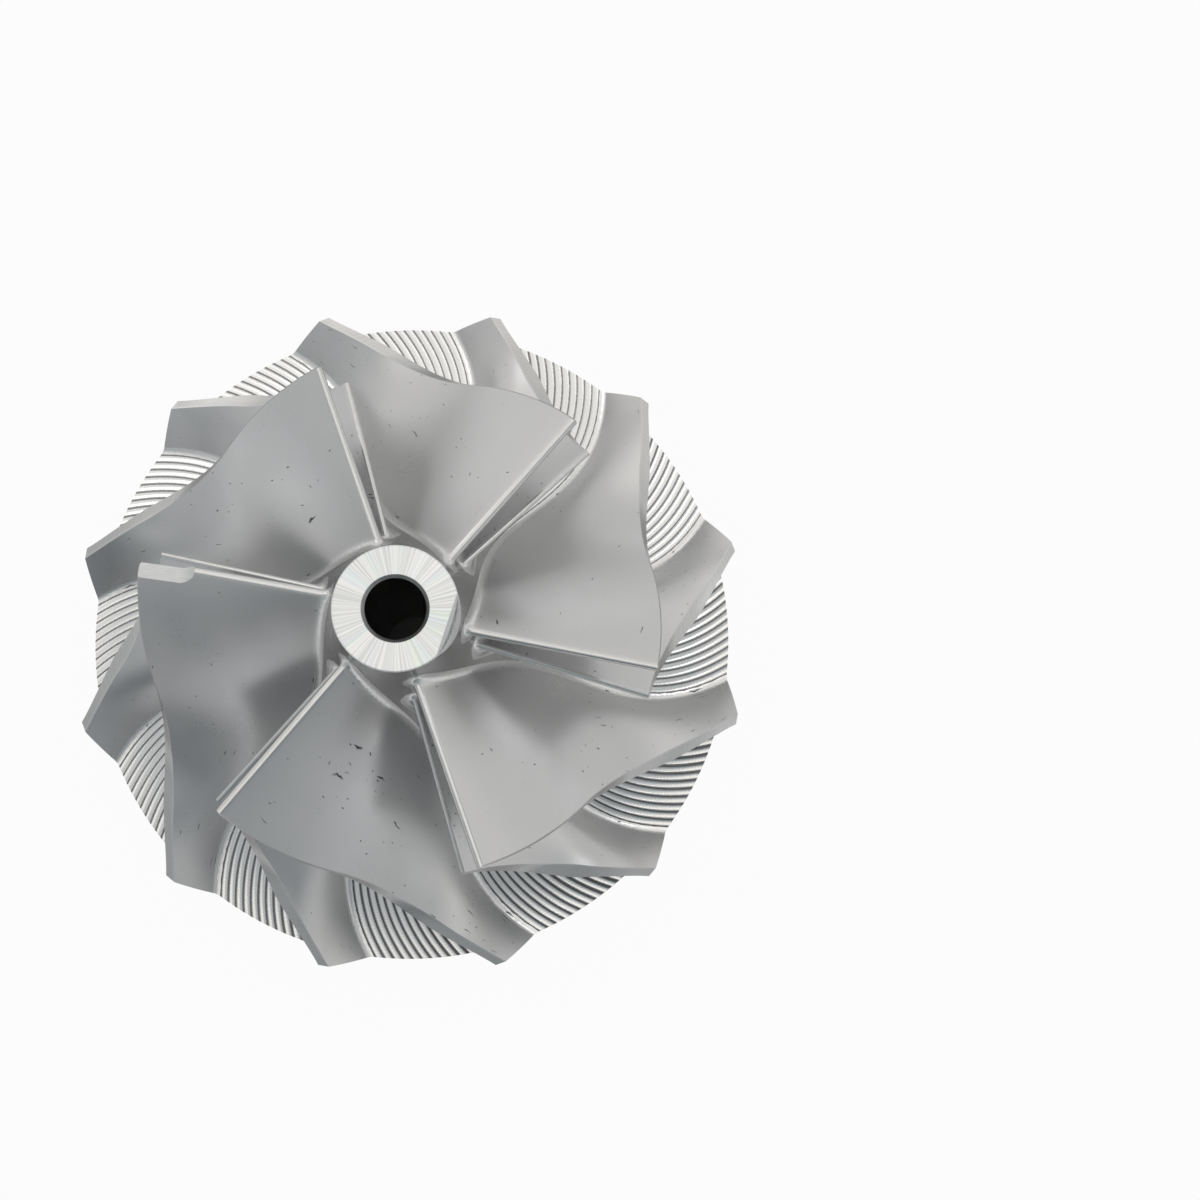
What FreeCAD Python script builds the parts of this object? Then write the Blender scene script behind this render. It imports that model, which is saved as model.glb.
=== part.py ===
"""A compressor wheel for a turbocharger: one aluminium piece, turned and then milled on five axes.

The wheel stands on the boss of its back face, with its axis along +Z and its inlet at the top.
Six full blades and six splitter blades share one bent and twisted form. Each flank is a ruled
surface, because the side of the cutter swept it. The flanks run past the turned outline, which
then trims them to their top lands, their slanted trailing edges and the rim of the disc.
"""
import FreeCAD, Part
import math
import os

import Sketcher
from FreeCAD import Placement, Rotation, Vector

# Every size that can be chosen by itself, in millimetres and degrees
DIMENSIONS = [
    ("tip_radius", 48.0, "outer corner of a trailing edge"),
    ("disc_radius", 45.7, "rim of the disc, inside the blade tips"),
    ("disc_rim", 1.8, "thickness of the disc at its rim"),
    ("rim_height", 5.0, "underside of the rim over the seat face"),
    ("rim_break", 0.2, "drop of the trailing cut below the floor at the rim"),
    ("outlet_width", 4.3, "height of a trailing edge over the rim"),
    ("nose_radius", 8.25, "turned face at the inlet end"),
    ("nose_height", 37.4, "nose face over the rim"),
    ("floor_across", 47.0, "half width of the ellipse that is the hub floor in section"),
    ("floor_up", 44.5, "half height of that ellipse"),
    ("inducer_radius", 34.8, "outer corner of a leading edge"),
    ("inlet_height", 30.9, "outer corner of a full leading edge over the rim"),
    ("inlet_root", 32.8, "inner end of a full leading edge over the rim"),
    ("splitter_height", 18.3, "outer corner of a splitter leading edge over the rim"),
    ("splitter_root", 27.95, "inner end of a splitter leading edge over the rim"),
    ("shroud_arc", 11.3, "radius of the blade tops where they turn outward"),
    ("outlet_slope", 28.0, "slope of the blade tops at the outlet"),
    ("first_blade", 108.4, "direction of the first full leading edge"),
    ("ruling_bias", 1.5, "how far the rulings crowd toward the inlet on the hub"),
    ("top_turn_first", 19.8, "first inner control of the turn along the top"),
    ("top_turn_middle", 31.0, "middle control of the turn along the top"),
    ("top_turn_last", 49.1, "last inner control of the turn along the top"),
    ("top_wrap", 57.0, "turn from leading to trailing edge along the top"),
    ("root_start", -2.6, "inner end of the leading edge behind its outer corner"),
    ("root_turn_first", 72.0, "first inner control of the turn along the root"),
    ("root_turn_middle", 47.3, "middle control of the turn along the root"),
    ("root_turn_last", 50.7, "last inner control of the turn along the root"),
    ("root_wrap", 63.0, "turn to the inner end of the trailing edge"),
    ("leading_thickness", 1.2, "full blade at its leading edge"),
    ("splitter_thickness", 0.9, "splitter at its leading edge"),
    ("top_thickness", 0.95, "any blade along its top"),
    ("leading_share", 0.2, "share of a blade in which its top thins from the leading edge's"),
    ("root_thickness", 2.0, "any blade at its root, half way along"),
    ("outlet_thickness", 1.3, "any blade at the root of its trailing edge"),
    ("bore_radius", 4.0, "bore for the shaft"),
    ("bore_chamfer", 0.45, "chamfer at both ends of the bore"),
    ("boss_radius", 10.5, "seat face under the wheel"),
    ("boss_step", 1.2, "straight side of the boss"),
    ("rim_flat", 5.0, "flat band inside the rim, outside the tapered back"),
    ("balance_chord", 6.95, "balancing cut on the nose face, from the axis"),
    ("balance_angle", -18.0, "direction of that cut"),
    ("balance_slope", 45.0, "slope of that cut below the nose face"),
    ("grind_length", 5.6, "balancing flat on one leading edge, in from its corner"),
    ("grind_start", 0.15, "its inner end under the corner of the ruling"),
    ("grind_depth", 0.85, "its outer end under the corner of the ruling"),
    ("grind_runout", 3.0, "radius by which it runs out at its inner end"),
    ("grind_reach", 2.0, "how far in that radius reaches"),
    ("grind_width", 6.0, "width of the cut that leaves it"),
    ("overrun", 1.6, "how far a surface runs past what trims it"),
]

# Full blades, with a splitter between each two
FULL_BLADES = 6

# Spans between the stations of a blade, the share it runs past its end, and a step for slopes
SPANS = 12
PAST_END = 0.033
SLOPE_STEP = 0.004

UPWARD = Vector(0, 0, 1)

doc = FreeCAD.newDocument("compressor_wheel")
sheet = doc.addObject("Spreadsheet::Sheet", "Dimensions")
for row, (alias, amount, note) in enumerate(DIMENSIONS, start=1):
    sheet.set(f"A{row}", note)
    sheet.set(f"B{row}", str(amount))
    sheet.setAlias(f"B{row}", alias)
doc.recompute()


class Size:
    """A length that knows its number and the expression that binds it to the sheet."""

    def __init__(self, number, text):
        self.number = number
        self.text = text

    def __add__(self, other):
        return Size(self.number + other.number, f"({self.text} + {other.text})")

    def __sub__(self, other):
        return Size(self.number - other.number, f"({self.text} - {other.text})")


def number(alias):
    return float(sheet.get(alias))


def size(alias):
    return Size(number(alias), f"{sheet.Name}.{alias}")


# Places that several sections share; heights are over the seat face
ON_AXIS = Size(0.0, "0")
ON_SEAT = Size(0.0, "0")
RIM_TOP = size("rim_height") + size("disc_rim")
NOSE_TOP = RIM_TOP + size("nose_height")
OUTLET_TOP = RIM_TOP + size("outlet_width")
ABOVE = NOSE_TOP + size("overrun")
BELOW = ON_SEAT - size("overrun")


# Sections of the hub floor and of the blade tops
def on_ellipse(centre, across, up, angle):
    return centre + Vector(across * math.cos(angle), up * math.sin(angle))


def angle_of(way, across=1.0, up=1.0):
    """The angle at which an ellipse of these half sizes passes in this way from its centre."""
    return math.atan2(way.y / up, way.x / across) % (2 * math.pi)


def arc_centre(start, end, radius):
    """The centre of the arc from start to end that lies on the left of that chord."""
    chord = end - start
    left = Vector(-chord.y, chord.x).normalize()
    return (start + end) * 0.5 + left * math.sqrt(radius ** 2 - chord.Length ** 2 / 4)


def floor_centre():
    """The centre of the hub floor's ellipse, which passes through the nose edge and the rim."""
    stretch = number("floor_across") / number("floor_up")
    nose = Vector(number("nose_radius"), NOSE_TOP.number * stretch)
    rim = Vector(number("disc_radius"), RIM_TOP.number * stretch)
    centre = arc_centre(nose, rim, number("floor_across"))
    return Vector(centre.x, centre.y / stretch)


def shroud_bend():
    """The centre of the bend in the blade tops, and the bend's end at the outlet slope."""
    radius = number("shroud_arc")
    slope = math.radians(number("outlet_slope"))
    across = number("inducer_radius") + radius
    end_angle = 1.5 * math.pi - slope
    end_across = across + radius * math.cos(end_angle)
    end_up = OUTLET_TOP.number + (number("tip_radius") - end_across) * math.tan(slope)
    centre = Vector(across, end_up - radius * math.sin(end_angle))
    return centre, Vector(end_across, end_up)


def floor_angle(over_rim):
    """The angle of the hub floor's ellipse at a height over the rim."""
    drop = floor_centre().y - RIM_TOP.number - over_rim
    return math.pi + math.asin(drop / number("floor_up"))


def root_angles():
    """The angles of the floor's ellipse at the leading edge's inner end and at the rim."""
    rim = Vector(number("disc_radius"), RIM_TOP.number) - floor_centre()
    return floor_angle(number("inlet_root")), angle_of(rim, number("floor_across"), number("floor_up"))


def root_point(fraction):
    """Radius and height on the hub floor, from the leading edge at 0 to the rim at 1."""
    start, end = root_angles()
    angle = start + (end - start) * fraction
    return on_ellipse(floor_centre(), number("floor_across"), number("floor_up"), angle)


def top_lengths():
    """The lengths of the straight inlet, the bend and the outlet slope of the blade tops."""
    centre, bend_end = shroud_bend()
    inlet = RIM_TOP.number + number("inlet_height") - centre.y
    bend = number("shroud_arc") * (angle_of(bend_end - centre) - math.pi)
    outlet = (Vector(number("tip_radius"), OUTLET_TOP.number) - bend_end).Length
    return inlet, bend, outlet


def top_point(fraction):
    """Radius and height on the blade tops, from the leading edge at 0 to the outlet at 1."""
    centre, bend_end = shroud_bend()
    radius = number("shroud_arc")
    inlet, bend, outlet = top_lengths()
    run = fraction * (inlet + bend + outlet)
    if run < inlet:
        return Vector(number("inducer_radius"), centre.y + inlet - run)
    if run < inlet + bend:
        return on_ellipse(centre, radius, radius, math.pi + (run - inlet) / radius)
    slope = math.radians(number("outlet_slope"))
    return bend_end + Vector(math.cos(slope), -math.sin(slope)) * (run - inlet - bend)


# Blades
INNER_CONTROLS = ("first", "middle", "last")
TOP_TURN = [0.0, *(number(f"top_turn_{place}") for place in INNER_CONTROLS), number("top_wrap")]
ROOT_TURN = [
    number("root_start"),
    *(number(f"root_turn_{place}") for place in INNER_CONTROLS),
    number("root_wrap"),
]


def turn(controls, fraction):
    """The angle round the axis in radians, as a Bezier law of the way along the blade."""
    degree = len(controls) - 1
    total = 0.0
    for index, control in enumerate(controls):
        weight = math.comb(degree, index) * fraction ** index * (1 - fraction) ** (degree - index)
        total += weight * control
    return math.radians(total)


def in_space(section, angle):
    return Vector(section.x * math.cos(angle), section.x * math.sin(angle), section.y)


def camber_root(station):
    fraction = station ** number("ruling_bias")
    return in_space(root_point(fraction), turn(ROOT_TURN, fraction))


def camber_top(station):
    return in_space(top_point(station), turn(TOP_TURN, station))


def along(camber, station):
    """The direction of a camber line at a station."""
    before = max(station - SLOPE_STEP, 0.0)
    return (camber(station + SLOPE_STEP) - camber(before)).normalize()


def root_width(leading, way):
    """Thickness at the root: leading at 0, the root thickness half way and the outlet's at 1."""
    middle = number("root_thickness")
    outlet = number("outlet_thickness")
    rise = 4 * middle - 3 * leading - outlet
    fall = 2 * leading + 2 * outlet - 4 * middle
    return leading + rise * way + fall * way ** 2


def top_width(leading, way):
    """Thickness at the top, which falls from the leading edge's to the one of the other tops."""
    top = number("top_thickness")
    return top + (leading - top) * max(0.0, 1 - way / number("leading_share"))


def crossing(way, firsts, leading):
    """Where a blade's middle surface ends at a ruling, past what trims it, and half the blade.

    way is 0 at the leading edge and 1 at the outlet, and firsts are the stations of the root
    and of the top where the blade begins. The first two results are the ruling's root and top
    ends, and the others lead from there to one flank's.
    """
    root_station, top_station = (first + (1 - first) * way for first in firsts)
    root = camber_root(root_station)
    top = camber_top(top_station)
    ruling = (top - root).normalize()
    root_side = along(camber_root, root_station).cross(ruling).normalize()
    top_side = along(camber_top, top_station).cross(ruling).normalize()
    side = (root_side + top_side).normalize()
    past = ruling * number("overrun")
    half_root = side * (root_width(leading, way) / 2)
    half_top = side * (top_width(leading, way) / 2)
    return root - past, top + past, half_root, half_top


def smooth_edge(points, ways):
    """A curve that passes each point at its way, so that facing edges keep their rulings."""
    curve = Part.BSplineCurve()
    curve.interpolate(Points=points, Parameters=ways)
    return curve.toShape()


def blade(firsts, leading):
    """One blade's solid: two ruled flanks, a leading edge that is half a cylinder, blunt ends.

    firsts are the stations of the root and of the top where it begins, leading thick.
    """
    last = 1.0 + PAST_END / (1 - firsts[1])
    ways = [last * step / SPANS for step in range(SPANS + 1)]
    roots, tops, root_halves, top_halves = zip(*(crossing(way, firsts, leading) for way in ways))
    ruling = tops[0] - roots[0]
    forward = ruling.cross(root_halves[0]).normalize() * (leading / 2)
    if forward.dot(along(camber_top, firsts[1])) > 0:
        forward = -forward
    faces = []
    rims = []
    for middles, halves in ((roots, root_halves), (tops, top_halves)):
        one = [middle + half for middle, half in zip(middles, halves)]
        two = [middle - half for middle, half in zip(middles, halves)]
        round_edge = Part.Arc(one[0], middles[0] + forward, two[0]).toShape()
        edge_one = smooth_edge(one, ways)
        edge_two = smooth_edge(two, ways)
        faces.append(Part.Face(Part.Wire([round_edge, Part.makeLine(two[0], one[0])])))
        faces.append(Part.makeRuledSurface(edge_one, edge_two))
        rims.append((round_edge, edge_one, edge_two, Part.makeLine(one[-1], two[-1])))
    round_edge = rims[0][0]
    faces.append(round_edge.extrude(ruling))
    for root_edge, top_edge in list(zip(*rims))[1:]:
        faces.append(Part.makeRuledSurface(root_edge, top_edge))
    shell = Part.makeShell(faces)
    shell.sewShape()
    solid = Part.makeSolid(shell)
    if solid.Volume < 0:
        solid.reverse()
    return solid


def splitter_stations():
    """The stations of the root and of the top where a splitter begins, so its edge leans."""
    start, end = root_angles()
    fraction = (floor_angle(number("splitter_root")) - start) / (end - start)
    top = (number("inlet_height") - number("splitter_height")) / sum(top_lengths())
    return fraction ** (1 / number("ruling_bias")), top


def add_blades(name, shape, first_angle):
    """Copies of one blade round the axis, each an object of its own."""
    blades = []
    for index in range(FULL_BLADES):
        feature = doc.addObject("Part::Feature", f"{name}_{index + 1}")
        feature.Shape = shape
        angle = first_angle + index * 360.0 / FULL_BLADES
        feature.Placement = Placement(Vector(), Rotation(UPWARD, angle))
        blades.append(feature)
    return blades


# Sketched sections
def add_sketch(body, name, angle=0.0):
    """A sketch in the upright plane through the axis, turned by an angle about that axis."""
    plane = next(item for item in body.Origin.OriginFeatures if item.Role == "XZ_Plane")
    sketch = body.newObject("Sketcher::SketchObject", name)
    sketch.AttachmentSupport = [(plane, "")]
    sketch.MapMode = "FlatFace"
    sketch.AttachmentOffset = Placement(Vector(), Rotation(Vector(0, 1, 0), angle))
    return sketch


def bind(sketch, kind, *arguments, to):
    """Adds a constraint whose value is a size of the sheet."""
    item = sketch.addConstraint(Sketcher.Constraint(kind, *arguments, to.number))
    sketch.setExpression(f"Constraints[{item}]", to.text)


def plain(value):
    return value.number if isinstance(value, Size) else value


def pin(sketch, side, end, across, up):
    """Holds one end of a side by those of its two places that are sizes of the sheet."""
    if across is ON_AXIS:
        sketch.addConstraint(Sketcher.Constraint("PointOnObject", side, end, -2))
    elif isinstance(across, Size):
        bind(sketch, "DistanceX", -1, 1, side, end, to=across)
    if up is ON_SEAT:
        sketch.addConstraint(Sketcher.Constraint("PointOnObject", side, end, -1))
    elif isinstance(up, Size):
        bind(sketch, "DistanceY", -1, 1, side, end, to=up)


def curve_between(sketch, centre, across, up, from_angle, to_angle):
    """Draws part of a circle, or of an ellipse that lies level or upright, and binds its size."""
    if across is up:
        circle = Part.Circle(centre, UPWARD, across.number)
        side = sketch.addGeometry(Part.ArcOfCircle(circle, from_angle, to_angle))
        bind(sketch, "Radius", side, to=across)
        return side
    widest = centre + Vector(across.number, 0)
    highest = centre + Vector(0, up.number)
    upright = up.number > across.number
    if upright:
        ellipse = Part.Ellipse(highest, centre - Vector(across.number, 0), centre)
        from_angle -= math.pi / 2
        to_angle -= math.pi / 2
    else:
        ellipse = Part.Ellipse(widest, highest, centre)
    side = sketch.addGeometry(Part.ArcOfEllipse(ellipse, from_angle, to_angle))
    longer = sketch.GeometryCount
    shorter = longer + 1
    sketch.exposeInternalGeometry(side)
    sketch.addConstraint(Sketcher.Constraint("Vertical" if upright else "Horizontal", longer))
    bind(sketch, "Distance", longer, to=up + up if upright else across + across)
    bind(sketch, "Distance", shorter, to=across + across if upright else up + up)
    return side


def draw(sketch, corners, arcs, smooth=()):
    """Draws a closed section from corners, each a place across and a height.

    A place that is a size is held to it, and a plain number is only where the corner starts.
    arcs gives the centre and the two half sizes of each side that is curved, by the corner
    where it starts. The sides run on without a kink at the corners in smooth. The sides are
    returned in order.
    """
    points = [Vector(plain(across), plain(up), 0) for across, up in corners]
    sides = []
    for index, start in enumerate(points):
        end = points[(index + 1) % len(points)]
        ends = (1, 2)
        if index in arcs:
            centre, across, up = arcs[index]
            from_angle = angle_of(start - centre, across.number, up.number)
            to_angle = angle_of(end - centre, across.number, up.number)
            if (start - centre).cross(end - centre).z < 0:
                from_angle, to_angle = to_angle, from_angle
                ends = (2, 1)
            side = curve_between(sketch, centre, across, up, from_angle, to_angle)
        else:
            side = sketch.addGeometry(Part.LineSegment(start, end))
        sides.append((side, *ends))
    for index, (side, first_end, last_end) in enumerate(sides):
        corner = (index + 1) % len(sides)
        following, following_end, _ = sides[corner]
        kind = "Tangent" if corner in smooth else "Coincident"
        sketch.addConstraint(Sketcher.Constraint(kind, side, last_end, following, following_end))
        pin(sketch, side, first_end, *corners[index])
    return [side for side, _, _ in sides]


def revolve(body, kind, name, sketch):
    """A full turn of a section about the axis, which adds or cuts as its kind says."""
    feature = body.newObject(kind, name)
    feature.Profile = (sketch, [""])
    feature.ReferenceAxis = (sketch, ["V_Axis"])
    feature.Angle = 360
    body.Tip = feature
    return feature


def add_hub():
    """The hub and disc, turned larger than the rim, with the tapered back and the boss."""
    body = doc.addObject("PartDesign::Body", "hub")
    sketch = add_sketch(body, "hub_section")
    outer = size("tip_radius") + size("overrun")
    flat_start = size("disc_radius") - size("rim_flat")
    centre = floor_centre()
    across = size("floor_across")
    up = size("floor_up")
    outer_angle = -math.acos((outer.number - centre.x) / across.number)
    outer_up = on_ellipse(centre, across.number, up.number, outer_angle).y
    corners = [
        (ON_AXIS, ON_SEAT),
        (size("boss_radius"), ON_SEAT),
        (size("boss_radius"), size("boss_step")),
        (flat_start, size("rim_height")),
        (outer, size("rim_height")),
        (outer, outer_up),
        (size("nose_radius"), NOSE_TOP),
        (ON_AXIS, NOSE_TOP),
    ]
    sides = draw(sketch, corners, {5: (centre, across, up)})
    rim = sketch.addGeometry(Part.Point(Vector(number("disc_radius"), RIM_TOP.number, 0)), True)
    pin(sketch, rim, 1, size("disc_radius"), RIM_TOP)
    sketch.addConstraint(Sketcher.Constraint("PointOnObject", rim, 1, sides[5]))
    revolve(body, "PartDesign::Revolution", "hub_turning", sketch)
    return body


def add_outline():
    """The turned outline of the finished wheel: rim, slanted outlet, blade tops and inlet."""
    body = doc.addObject("PartDesign::Body", "outline")
    sketch = add_sketch(body, "outline_section")
    centre, bend_end = shroud_bend()
    corners = [
        (ON_AXIS, BELOW),
        (size("disc_radius"), BELOW),
        (size("disc_radius"), RIM_TOP - size("rim_break")),
        (size("tip_radius"), OUTLET_TOP),
        (bend_end.x, bend_end.y),
        (size("inducer_radius"), centre.y),
        (size("inducer_radius"), ABOVE),
        (ON_AXIS, ABOVE),
    ]
    radius = size("shroud_arc")
    sides = draw(sketch, corners, {4: (centre, radius, radius)}, smooth=(4, 5))
    angle = math.radians(180 - number("outlet_slope"))
    item = sketch.addConstraint(Sketcher.Constraint("Angle", sides[3], angle))
    sketch.setExpression(f"Constraints[{item}]", f"(180 - {size('outlet_slope').text}) * 1 deg")
    revolve(body, "PartDesign::Revolution", "outline_turning", sketch)
    return body


def add_bore(body):
    """The bore through the wheel, with a chamfer at both ends."""
    sketch = add_sketch(body, "bore_section")
    wide = size("bore_radius") + size("bore_chamfer")
    corners = [
        (ON_AXIS, BELOW),
        (wide + size("overrun"), BELOW),
        (size("bore_radius"), size("bore_chamfer")),
        (size("bore_radius"), NOSE_TOP - size("bore_chamfer")),
        (wide + size("overrun"), ABOVE),
        (ON_AXIS, ABOVE),
    ]
    draw(sketch, corners, {})
    revolve(body, "PartDesign::Groove", "bore", sketch)


def cut_across(body, name, sketch, width):
    """Cuts a section's whole outline away over a width on both sides of its plane."""
    pocket = body.newObject("PartDesign::Pocket", name)
    pocket.Profile = (sketch, [""])
    pocket.Midplane = True
    pocket.Length = width
    body.Tip = pocket


def add_nose_flat(body):
    """The balancing cut across the edge of the nose face, at a slope below a chord of it."""
    sketch = add_sketch(body, "nose_flat_section", number("balance_angle"))
    outer = size("nose_radius") + size("overrun")
    rise = math.tan(math.radians(number("balance_slope")))
    lower = NOSE_TOP.number - (outer.number - number("balance_chord")) * rise
    inner = number("balance_chord") - number("overrun") / rise
    corners = [(outer, lower), (outer, ABOVE), (inner, ABOVE)]
    sides = draw(sketch, corners, {})
    chord = sketch.addGeometry(Part.Point(Vector(number("balance_chord"), NOSE_TOP.number, 0)), True)
    pin(sketch, chord, 1, size("balance_chord"), NOSE_TOP)
    sketch.addConstraint(Sketcher.Constraint("PointOnObject", chord, 1, sides[2]))
    angle = math.radians(-number("balance_slope"))
    item = sketch.addConstraint(Sketcher.Constraint("Angle", sides[2], angle))
    sketch.setExpression(f"Constraints[{item}]", f"-{size('balance_slope').text} * 1 deg")
    cut_across(body, "nose_flat", sketch, 2 * outer.number)


def add_grind(body):
    """The balancing flat on the corner of one leading edge, which runs out in an arc."""
    pitch = 360.0 / FULL_BLADES
    sketch = add_sketch(body, "leading_grind_section", number("first_blade") + pitch)
    inner = size("inducer_radius") - size("grind_length")
    outer = size("inducer_radius") + size("overrun")
    edge = RIM_TOP + size("inlet_height")
    inner_up = edge - size("grind_start")
    outer_up = edge - size("grind_depth")
    radius = size("grind_runout")
    across = inner - size("grind_reach")
    start = Vector(inner.number, inner_up.number)
    flat = Vector(outer.number, outer_up.number) - start
    centre = start + Vector(-flat.y, flat.x).normalize() * radius.number
    up = centre.y - math.sqrt(radius.number ** 2 - (centre.x - across.number) ** 2)
    corners = [(across, up), (inner, inner_up), (outer, outer_up), (outer, ABOVE), (across, ABOVE)]
    draw(sketch, corners, {0: (centre, radius, radius)}, smooth=(1,))
    cut_across(body, "leading_grind", sketch, number("grind_width"))


full_blade = blade((0.0, 0.0), number("leading_thickness"))
splitter_blade = blade(splitter_stations(), number("splitter_thickness"))
half_pitch = 180.0 / FULL_BLADES
hub = add_hub()
blades = add_blades("full_blade", full_blade, number("first_blade"))
blades += add_blades("splitter_blade", splitter_blade, number("first_blade") - half_pitch)
milled = doc.addObject("Part::MultiFuse", "milled")
milled.Shapes = [hub, *blades]
turned = doc.addObject("Part::Common", "turned")
turned.Base = milled
turned.Tool = add_outline()
doc.recompute()

wheel = doc.addObject("PartDesign::Body", "wheel")
wheel.BaseFeature = turned
wheel.Label = "compressor_wheel"
doc.recompute()
volume = wheel.Shape.Volume
for cut in (add_bore, add_nose_flat, add_grind):
    cut(wheel)
    doc.recompute()
    if wheel.Shape.Volume >= volume:
        raise SystemExit(f"{cut.__name__} took nothing away")
    volume = wheel.Shape.Volume

failed = [item.Name for item in doc.Objects if {"Invalid", "Error"} & set(item.State)]
if failed:
    raise SystemExit(f"these did not compute: {failed}")
if wheel.Shape.isNull() or not wheel.Shape.isValid() or len(wheel.Shape.Solids) != 1:
    raise SystemExit("the wheel is not one valid solid")
os.makedirs("parts", exist_ok=True)
wheel.Shape.exportStep(f"parts/{wheel.Label}.step")
print(f"{wheel.Label}: {len(wheel.Shape.Faces)} faces, {wheel.Shape.Volume:.0f} cubic millimetres")
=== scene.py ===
# %% [markdown]
# # A compressor wheel, milled from one piece of aluminium
#
# The wheel is turned to its outline first: disc, nose, bore and the curved envelope of the
# blade tops. A five-axis mill then cuts the passages. The side of a tapered cutter sweeps each
# flank, and its round end leaves a row of shallow grooves along the floor of every passage.
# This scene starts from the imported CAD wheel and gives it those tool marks, its root fillets
# and its finishes.

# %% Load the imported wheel
import math

import bmesh
import bpy
from mathutils import Matrix, Vector


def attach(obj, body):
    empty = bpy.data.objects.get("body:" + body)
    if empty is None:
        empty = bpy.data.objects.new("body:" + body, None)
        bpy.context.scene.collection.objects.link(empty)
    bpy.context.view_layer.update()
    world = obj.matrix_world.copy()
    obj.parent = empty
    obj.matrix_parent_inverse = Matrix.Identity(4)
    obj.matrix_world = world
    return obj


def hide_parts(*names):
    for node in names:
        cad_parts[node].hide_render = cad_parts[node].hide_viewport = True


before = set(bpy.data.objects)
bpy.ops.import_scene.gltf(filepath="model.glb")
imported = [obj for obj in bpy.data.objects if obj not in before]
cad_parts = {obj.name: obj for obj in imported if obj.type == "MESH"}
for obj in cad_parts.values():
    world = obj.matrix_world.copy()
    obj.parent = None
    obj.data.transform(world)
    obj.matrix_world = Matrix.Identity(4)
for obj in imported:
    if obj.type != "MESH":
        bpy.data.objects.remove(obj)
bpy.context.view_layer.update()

# %% [markdown]
# ## The sizes of the wheel
#
# Every size is in millimetres and degrees, with the wheel's axis along +Z and the seat of its
# boss at z = 0. They are the sizes of the CAD wheel, so each piece falls where the CAD has it.

# %% Sizes in millimetres and degrees
MM = 0.001
TIP_RADIUS = 48.0
DISC_RADIUS = 45.7
RIM_UNDERSIDE = 5.0
RIM_TOP = RIM_UNDERSIDE + 1.8
OUTLET_TOP = RIM_TOP + 4.3
NOSE_RADIUS = 8.25
NOSE_TOP = RIM_TOP + 37.4
FLOOR_ACROSS = 47.0
FLOOR_UP = 44.5
INDUCER_RADIUS = 34.8
INLET_TOP = RIM_TOP + 30.9
INLET_ROOT = RIM_TOP + 32.8
SPLITTER_TOP = RIM_TOP + 18.3
SPLITTER_ROOT = RIM_TOP + 27.95
SHROUD_ARC = 11.3
OUTLET_SLOPE = math.radians(28.0)
FULL_BLADES = 6
FIRST_BLADE = 108.4
RULING_BIAS = 1.5
TOP_TURN = (0.0, 19.8, 31.0, 49.1, 57.0)
ROOT_TURN = (-2.6, 72.0, 47.3, 50.7, 63.0)
LEADING_THICKNESS = 1.2
SPLITTER_THICKNESS = 0.9
TOP_THICKNESS = 0.95
LEADING_SHARE = 0.2
ROOT_THICKNESS = 2.0
OUTLET_THICKNESS = 1.3
BORE_RADIUS = 4.0
BORE_CHAMFER = 0.45
BOSS_RADIUS = 10.5
BOSS_STEP = 1.2
RIM_FLAT = 5.0
BORE_MOUTH = BORE_RADIUS + BORE_CHAMFER
BALANCE_CHORD = 6.95
BALANCE_ANGLE = -18.0
BALANCE_SLOPE = math.radians(45.0)
GRIND_LENGTH = 5.6
GRIND_START = 0.15
GRIND_DEPTH = 0.85
GRIND_RUNOUT = 3.0
GRIND_REACH = 2.0
GRIND_WIDTH = 6.0
OVERRUN = 1.6
print(f"tips on a circle of {2 * TIP_RADIUS} mm, nose {NOSE_TOP} mm over the seat")

# %% [markdown]
# ## The two section curves
#
# Seen in section, the hub floor is part of an ellipse from the nose to the rim, and the blade
# tops run straight down from the inlet, bend outward and leave at a gentle slope. Both are
# written as functions, because the blades, their fillets and the grooves all have to meet them.


# %% The hub floor in section
def ellipse_centre():
    """The centre of the floor's ellipse, from the nose's edge and the rim's."""
    stretch = FLOOR_ACROSS / FLOOR_UP
    nose = Vector((NOSE_RADIUS, NOSE_TOP * stretch))
    rim = Vector((DISC_RADIUS, RIM_TOP * stretch))
    chord = rim - nose
    left = Vector((-chord.y, chord.x)).normalized()
    centre = (nose + rim) / 2 + left * math.sqrt(FLOOR_ACROSS**2 - chord.length_squared / 4)
    return Vector((centre.x, centre.y / stretch))


FLOOR_CENTRE = ellipse_centre()


def floor_angle(height):
    """The angle of the floor's ellipse at a height on its upright side."""
    return math.pi + math.asin((FLOOR_CENTRE.y - height) / FLOOR_UP)


FLOOR_START = floor_angle(INLET_ROOT)
FLOOR_END = 2 * math.pi - math.acos((DISC_RADIUS - FLOOR_CENTRE.x) / FLOOR_ACROSS)


def floor_at(angle):
    """Radius and height of the floor at an angle of its ellipse."""
    across = FLOOR_ACROSS * math.cos(angle)
    up = FLOOR_UP * math.sin(angle)
    return FLOOR_CENTRE + Vector((across, up))


def root_point(fraction):
    """Radius and height of the floor at a fraction of the blades' way along it."""
    return floor_at(FLOOR_START + (FLOOR_END - FLOOR_START) * fraction)


def into_metal(point):
    """Below zero in the air over the floor, zero on it and above zero in the metal."""
    across = (math.hypot(point.x, point.y) - FLOOR_CENTRE.x) / FLOOR_ACROSS
    up = (point.z - FLOOR_CENTRE.y) / FLOOR_UP
    return math.hypot(across, up) - 1.0


def floor_normal(point):
    """The direction straight out of the floor at a point in space."""
    radius = math.hypot(point.x, point.y)
    outward = -(radius - FLOOR_CENTRE.x) / FLOOR_ACROSS**2
    upward = -(point.z - FLOOR_CENTRE.y) / FLOOR_UP**2
    return Vector((outward * point.x / radius, outward * point.y / radius, upward)).normalized()


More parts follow.
